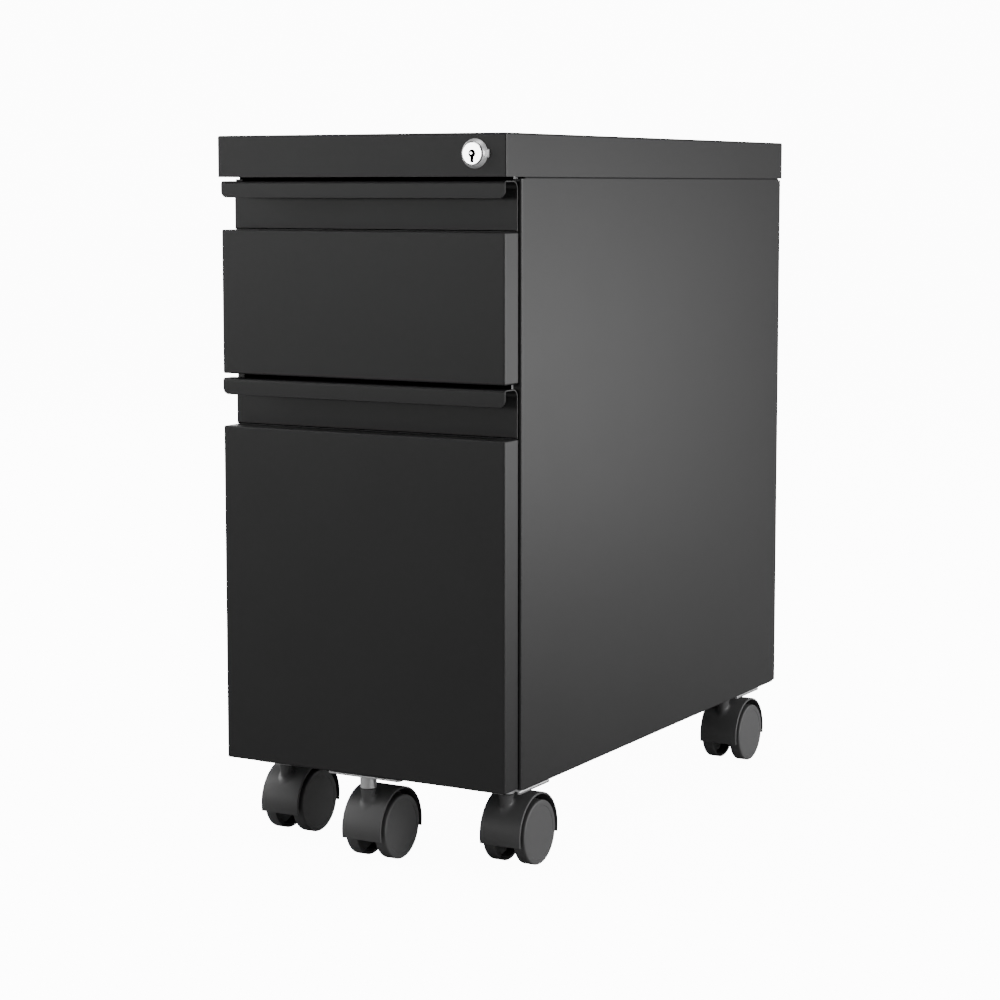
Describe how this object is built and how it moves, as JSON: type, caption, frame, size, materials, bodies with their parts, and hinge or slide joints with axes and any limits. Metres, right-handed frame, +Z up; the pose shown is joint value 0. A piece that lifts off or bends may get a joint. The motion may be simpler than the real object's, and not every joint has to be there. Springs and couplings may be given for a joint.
{
  "type": "mobile filing pedestal",
  "caption": "Slim mobile pedestal in black sheet steel: a box drawer over a file drawer, full-width grips, a cap with a cam lock, and casters.",
  "frame": {"origin": "on the floor, under the middle of the cabinet's overall box (the lock's face counts in its depth)", "axes": "+Z up; the drawers open towards -Y; +X is the right side as seen from the front, where the lock is"},
  "size_m": [0.254, 0.5096, 0.554],
  "materials": {
    "black_powder_coat": "satin black powder coat",
    "zinc_plated_steel": "bright zinc plate",
    "lock_chrome": "polished",
    "hood_plastic": "moulded black nylon, matte",
    "wheel_plastic": "moulded dark grey nylon, fine texture"
  },
  "bodies": {
    "case": {"top_cap": "black_powder_coat", "side_panel_left": "black_powder_coat", "side_panel_right": "black_powder_coat", "back_panel": "black_powder_coat", "base_pan": "black_powder_coat", "box_slide_outer_left": "zinc_plated_steel", "box_slide_outer_right": "zinc_plated_steel", "file_slide_outer_left": "zinc_plated_steel", "file_slide_outer_right": "zinc_plated_steel", "lock_housing": "lock_chrome", "lock_nut": "zinc_plated_steel", "lock_bar_channel": "zinc_plated_steel", "caster_plate_front_left": "zinc_plated_steel", "caster_plate_front_right": "zinc_plated_steel", "caster_plate_rear_left": "zinc_plated_steel", "caster_plate_rear_right": "zinc_plated_steel"},
    "box_drawer": {"box_drawer_tray": "black_powder_coat", "box_drawer_front": "black_powder_coat", "box_drawer_pull": "black_powder_coat", "box_drawer_catch": "zinc_plated_steel", "box_slide_inner_left": "zinc_plated_steel", "box_slide_inner_right": "zinc_plated_steel"},
    "box_slide_middle": {"box_slide_middle_left": "zinc_plated_steel", "box_slide_middle_right": "zinc_plated_steel"},
    "file_drawer": {"file_drawer_tray": "black_powder_coat", "file_drawer_front": "black_powder_coat", "file_drawer_pull": "black_powder_coat", "file_drawer_catch": "zinc_plated_steel", "folder_rail_front": "zinc_plated_steel", "folder_rail_rear": "zinc_plated_steel", "file_slide_inner_left": "zinc_plated_steel", "file_slide_inner_right": "zinc_plated_steel", "caster_plate_fifth": "zinc_plated_steel"},
    "file_slide_middle": {"file_slide_middle_left": "zinc_plated_steel", "file_slide_middle_right": "zinc_plated_steel"},
    "lock_core": {"lock_plug": "lock_chrome", "lock_cam": "zinc_plated_steel"},
    "lock_bar": {"lock_bar": "zinc_plated_steel"},
    "caster_front_left": {"caster_hood_front_left": "hood_plastic", "caster_axle_front_left": "zinc_plated_steel"},
    "caster_front_right": {"caster_hood_front_right": "hood_plastic", "caster_axle_front_right": "zinc_plated_steel"},
    "caster_rear_left": {"caster_hood_rear_left": "hood_plastic", "caster_axle_rear_left": "zinc_plated_steel"},
    "caster_rear_right": {"caster_hood_rear_right": "hood_plastic", "caster_axle_rear_right": "zinc_plated_steel"},
    "caster_fifth": {"caster_hood_fifth": "hood_plastic", "caster_axle_fifth": "zinc_plated_steel"},
    "wheel_front_left_left": {"wheel_front_left_left": "wheel_plastic"},
    "wheel_front_left_right": {"wheel_front_left_right": "wheel_plastic"},
    "wheel_front_right_left": {"wheel_front_right_left": "wheel_plastic"},
    "wheel_front_right_right": {"wheel_front_right_right": "wheel_plastic"},
    "wheel_rear_left_left": {"wheel_rear_left_left": "wheel_plastic"},
    "wheel_rear_left_right": {"wheel_rear_left_right": "wheel_plastic"},
    "wheel_rear_right_left": {"wheel_rear_right_left": "wheel_plastic"},
    "wheel_rear_right_right": {"wheel_rear_right_right": "wheel_plastic"},
    "wheel_fifth_left": {"wheel_fifth_left": "wheel_plastic"},
    "wheel_fifth_right": {"wheel_fifth_right": "wheel_plastic"}
  },
  "joints": [
    {"name": "box_drawer_slide", "type": "slide", "parent": "case", "child": "box_drawer", "axis": [0, -1, 0], "range_m": [0, 0.34]},
    {"name": "box_drawer_slide_middle", "type": "slide", "parent": "case", "child": "box_slide_middle", "axis": [0, -1, 0], "range_m": [0, 0.17]},
    {"name": "file_drawer_slide", "type": "slide", "parent": "case", "child": "file_drawer", "axis": [0, -1, 0], "range_m": [0, 0.43]},
    {"name": "file_drawer_slide_middle", "type": "slide", "parent": "case", "child": "file_slide_middle", "axis": [0, -1, 0], "range_m": [0, 0.215]},
    {"name": "lock_bar_slide", "type": "slide", "parent": "case", "child": "lock_bar", "axis": [0, 0, -1], "range_m": [0, 0.01696]},
    {"name": "lock_turn", "type": "hinge", "parent": "case", "child": "lock_core", "pos_m": [0.101, -0.25025, 0.53902], "axis": [0, 1, 0], "range_deg": [0, 90]},
    {"name": "swivel_front_left", "type": "hinge", "parent": "case", "child": "caster_front_left", "pos_m": [-0.1005, -0.20245, 0.0575], "axis": [0, 0, 1], "continuous": true},
    {"name": "swivel_front_right", "type": "hinge", "parent": "case", "child": "caster_front_right", "pos_m": [0.1005, -0.20245, 0.0575], "axis": [0, 0, 1], "continuous": true},
    {"name": "swivel_rear_left", "type": "hinge", "parent": "case", "child": "caster_rear_left", "pos_m": [-0.1005, 0.19655, 0.0575], "axis": [0, 0, 1], "continuous": true},
    {"name": "swivel_rear_right", "type": "hinge", "parent": "case", "child": "caster_rear_right", "pos_m": [0.1005, 0.19655, 0.0575], "axis": [0, 0, 1], "continuous": true},
    {"name": "swivel_fifth", "type": "hinge", "parent": "file_drawer", "child": "caster_fifth", "pos_m": [0, -0.23925, 0.0575], "axis": [0, 0, 1], "continuous": true},
    {"name": "wheel_roll_front_left_left", "type": "hinge", "parent": "caster_front_left", "child": "wheel_front_left_left", "pos_m": [-0.1005, -0.18295, 0.025], "axis": [1, 0, 0], "continuous": true},
    {"name": "wheel_roll_front_left_right", "type": "hinge", "parent": "caster_front_left", "child": "wheel_front_left_right", "pos_m": [-0.1005, -0.18295, 0.025], "axis": [1, 0, 0], "continuous": true},
    {"name": "wheel_roll_front_right_left", "type": "hinge", "parent": "caster_front_right", "child": "wheel_front_right_left", "pos_m": [0.1005, -0.18295, 0.025], "axis": [1, 0, 0], "continuous": true},
    {"name": "wheel_roll_front_right_right", "type": "hinge", "parent": "caster_front_right", "child": "wheel_front_right_right", "pos_m": [0.1005, -0.18295, 0.025], "axis": [1, 0, 0], "continuous": true},
    {"name": "wheel_roll_rear_left_left", "type": "hinge", "parent": "caster_rear_left", "child": "wheel_rear_left_left", "pos_m": [-0.1005, 0.21605, 0.025], "axis": [1, 0, 0], "continuous": true},
    {"name": "wheel_roll_rear_left_right", "type": "hinge", "parent": "caster_rear_left", "child": "wheel_rear_left_right", "pos_m": [-0.1005, 0.21605, 0.025], "axis": [1, 0, 0], "continuous": true},
    {"name": "wheel_roll_rear_right_left", "type": "hinge", "parent": "caster_rear_right", "child": "wheel_rear_right_left", "pos_m": [0.1005, 0.21605, 0.025], "axis": [1, 0, 0], "continuous": true},
    {"name": "wheel_roll_rear_right_right", "type": "hinge", "parent": "caster_rear_right", "child": "wheel_rear_right_right", "pos_m": [0.1005, 0.21605, 0.025], "axis": [1, 0, 0], "continuous": true},
    {"name": "wheel_roll_fifth_left", "type": "hinge", "parent": "caster_fifth", "child": "wheel_fifth_left", "pos_m": [0, -0.21975, 0.025], "axis": [1, 0, 0], "continuous": true},
    {"name": "wheel_roll_fifth_right", "type": "hinge", "parent": "caster_fifth", "child": "wheel_fifth_right", "pos_m": [0, -0.21975, 0.025], "axis": [1, 0, 0], "continuous": true}
  ],
  "couplings": [
    {"joint": "box_drawer_slide_middle", "follows": "box_drawer_slide", "ratio": 0.5},
    {"joint": "file_drawer_slide_middle", "follows": "file_drawer_slide", "ratio": 0.5},
    {"joint": "lock_turn", "follows": "lock_bar_slide", "rad_per_m": 92.59}
  ]
}
